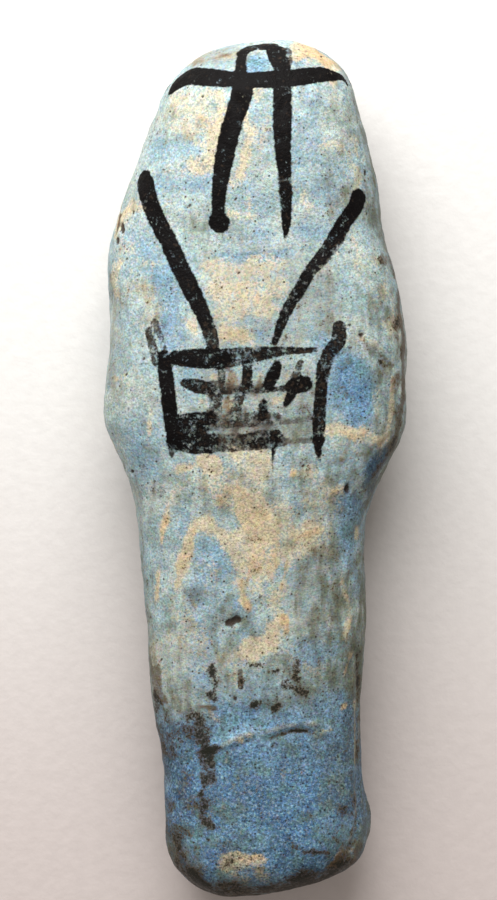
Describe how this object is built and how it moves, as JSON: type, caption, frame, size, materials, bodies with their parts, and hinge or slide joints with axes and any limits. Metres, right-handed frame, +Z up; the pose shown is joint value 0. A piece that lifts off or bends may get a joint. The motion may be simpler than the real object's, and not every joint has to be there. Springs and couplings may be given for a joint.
{
  "type": "ushabti figurine",
  "caption": "Mummiform funerary figurine in blue glazed faience with painted black details, lying on its face with its back up.",
  "frame": {"origin": "under the middle of the figurine, on the surface it lies on", "axes": "+Z up through the back, +Y along the figure towards the crown of the head, +X to the figure's right side"},
  "size_m": [0.0388, 0.11, 0.0221],
  "materials": {
    "glazed_faience": "worn matt blue glaze with cream wear, dark specks and black painted lines"
  },
  "bodies": {
    "root": {"figurine": "glazed_faience"}
  },
  "joints": []
}
